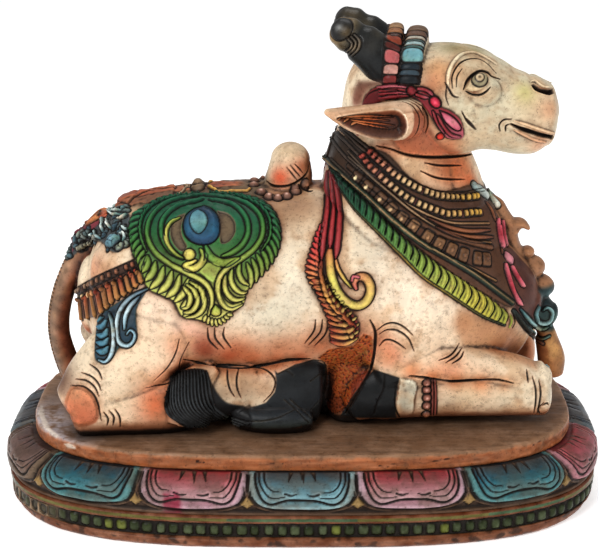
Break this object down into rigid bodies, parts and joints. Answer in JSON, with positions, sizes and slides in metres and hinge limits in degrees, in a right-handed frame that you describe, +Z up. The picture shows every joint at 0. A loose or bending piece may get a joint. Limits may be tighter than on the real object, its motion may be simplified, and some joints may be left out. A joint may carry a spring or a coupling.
{
  "type": "nandi bull figure",
  "caption": "Seated bull carved in wood and painted, with horns, hump, necklaces and saddle cloths, on an oval lotus plinth; an ornament that stands by its own weight.",
  "frame": {"origin": "middle of the plinth's underside", "axes": "+X the way the bull faces, +Y to the bull's left, +Z up"},
  "size_m": [0.398, 0.233, 0.3178],
  "materials": {
    "painted_body": "satin paint, worn and grimy",
    "painted_plinth": "satin paint, worn and grimy"
  },
  "bodies": {
    "root": {"bull": "painted_body", "lotus_plinth": "painted_plinth"}
  },
  "joints": []
}
